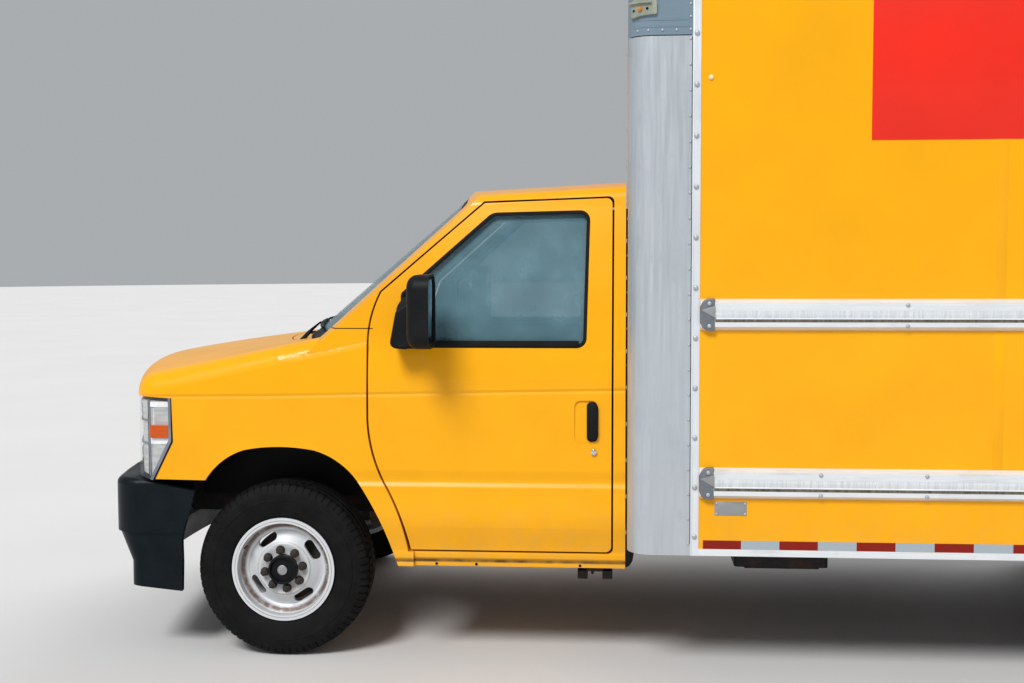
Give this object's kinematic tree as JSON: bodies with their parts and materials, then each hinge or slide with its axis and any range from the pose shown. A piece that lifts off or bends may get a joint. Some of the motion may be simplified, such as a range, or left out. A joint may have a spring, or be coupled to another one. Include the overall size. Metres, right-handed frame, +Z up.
{
  "type": "box truck",
  "caption": "Box truck with a short-nosed van cab, tall cargo box with rub rails and skirts, roll-up rear door, twin rear wheels and a rear step bumper.",
  "frame": {"origin": "on the ground, at the middle of the truck's length and width", "axes": "+X towards the rear, -Y towards the driver's side, +Z up"},
  "size_m": [7.4328, 2.564, 3.0999],
  "materials": {
    "yellow_paint": "gloss",
    "white_paint": "gloss",
    "grey_paint": "satin",
    "wheel_paint": "gloss",
    "black_paint": "satin",
    "galvanised": "matte",
    "bare_steel": "satin",
    "cast_iron": "rough",
    "aluminium": "satin",
    "black_plastic": "matte",
    "grey_plastic": "matte",
    "interior_plastic": "matte",
    "seat_fabric": "matte",
    "tyre": "matte",
    "glass": "clear",
    "clear_lens": "clear",
    "amber_lens": "gloss",
    "red_lens": "gloss"
  },
  "bodies": {
    "body": {"frame_rails": "black_paint", "front_axle": "cast_iron", "rear_axle": "cast_iron", "engine": "cast_iron", "driveline": "bare_steel", "exhaust": "bare_steel", "fuel_tank": "black_plastic", "battery_box": "black_paint", "box_floor": "black_paint", "front_wall": "yellow_paint", "front_corners": "aluminium", "side_walls": "yellow_paint", "rub_rails": "aluminium", "box_roof": "aluminium", "front_cap": "grey_paint", "rear_frame": "galvanised", "rear_door": "white_paint", "rear_bumper": "galvanised", "tail_lamps": "red_lens", "marker_lamps": "amber_lens", "cab_body": "yellow_paint", "cab_roof": "yellow_paint", "fenders": "yellow_paint", "cowl": "black_plastic", "windshield": "glass", "grille": "grey_plastic", "headlamps": "clear_lens", "front_bumper": "grey_plastic", "wheelhouses": "black_plastic", "dashboard": "interior_plastic", "seats": "seat_fabric"},
    "hood": {"hood": "yellow_paint"},
    "door_left": {"door_left": "yellow_paint", "door_glass_left": "glass", "mirror_left": "black_plastic"},
    "door_right": {"door_right": "yellow_paint", "door_glass_right": "glass", "mirror_right": "black_plastic"},
    "steering_wheel": {"steering_wheel": "black_plastic"},
    "knuckle_left": {"knuckle_left": "cast_iron"},
    "knuckle_right": {"knuckle_right": "cast_iron"},
    "front_wheel_left": {"front_tyre_left": "tyre", "front_rim_left": "wheel_paint"},
    "front_wheel_right": {"front_tyre_right": "tyre", "front_rim_right": "wheel_paint"},
    "rear_wheels_left": {"rear_tyres_left": "tyre", "rear_rims_left": "wheel_paint", "rear_hub_left": "cast_iron"},
    "rear_wheels_right": {"rear_tyres_right": "tyre", "rear_rims_right": "wheel_paint", "rear_hub_right": "cast_iron"}
  },
  "joints": [
    {"name": "hood_hinge", "type": "hinge", "parent": "body", "child": "hood", "pos_m": [-2.8145, 0, 1.348], "axis": [0, 1, 0], "range_deg": [0, 55]},
    {"name": "door_left_hinge", "type": "hinge", "parent": "body", "child": "door_left", "pos_m": [-2.4865, -1, 1], "axis": [0, 0, -1], "range_deg": [0, 65]},
    {"name": "door_right_hinge", "type": "hinge", "parent": "body", "child": "door_right", "pos_m": [-2.4865, 1, 1], "axis": [0, 0, 1], "range_deg": [0, 65]},
    {"name": "steer_left", "type": "hinge", "parent": "body", "child": "knuckle_left", "pos_m": [-2.8865, -0.789, 0.372], "axis": [0, 0, 1], "range_deg": [-35, 35]},
    {"name": "steer_right", "type": "hinge", "parent": "body", "child": "knuckle_right", "pos_m": [-2.8865, 0.789, 0.372], "axis": [0, 0, 1], "range_deg": [-35, 35]},
    {"name": "steering_wheel_turn", "type": "hinge", "parent": "body", "child": "steering_wheel", "pos_m": [-2.2265, -0.43, 1.25], "axis": [0.866, 0, 0.5], "range_deg": [-600, 600]},
    {"name": "front_wheel_left_spin", "type": "hinge", "parent": "knuckle_left", "child": "front_wheel_left", "pos_m": [-2.8865, -0.881, 0.372], "axis": [0, 1, 0], "continuous": true},
    {"name": "front_wheel_right_spin", "type": "hinge", "parent": "knuckle_right", "child": "front_wheel_right", "pos_m": [-2.8865, 0.881, 0.372], "axis": [0, 1, 0], "continuous": true},
    {"name": "rear_wheels_left_spin", "type": "hinge", "parent": "body", "child": "rear_wheels_left", "pos_m": [1.1265, -0.9, 0.372], "axis": [0, 1, 0], "continuous": true},
    {"name": "rear_wheels_right_spin", "type": "hinge", "parent": "body", "child": "rear_wheels_right", "pos_m": [1.1265, 0.9, 0.372], "axis": [0, 1, 0], "continuous": true}
  ],
  "couplings": [
    {"joint": "steer_right", "follows": "steer_left", "ratio": 1},
    {"joint": "steering_wheel_turn", "follows": "steer_left", "ratio": 17}
  ]
}
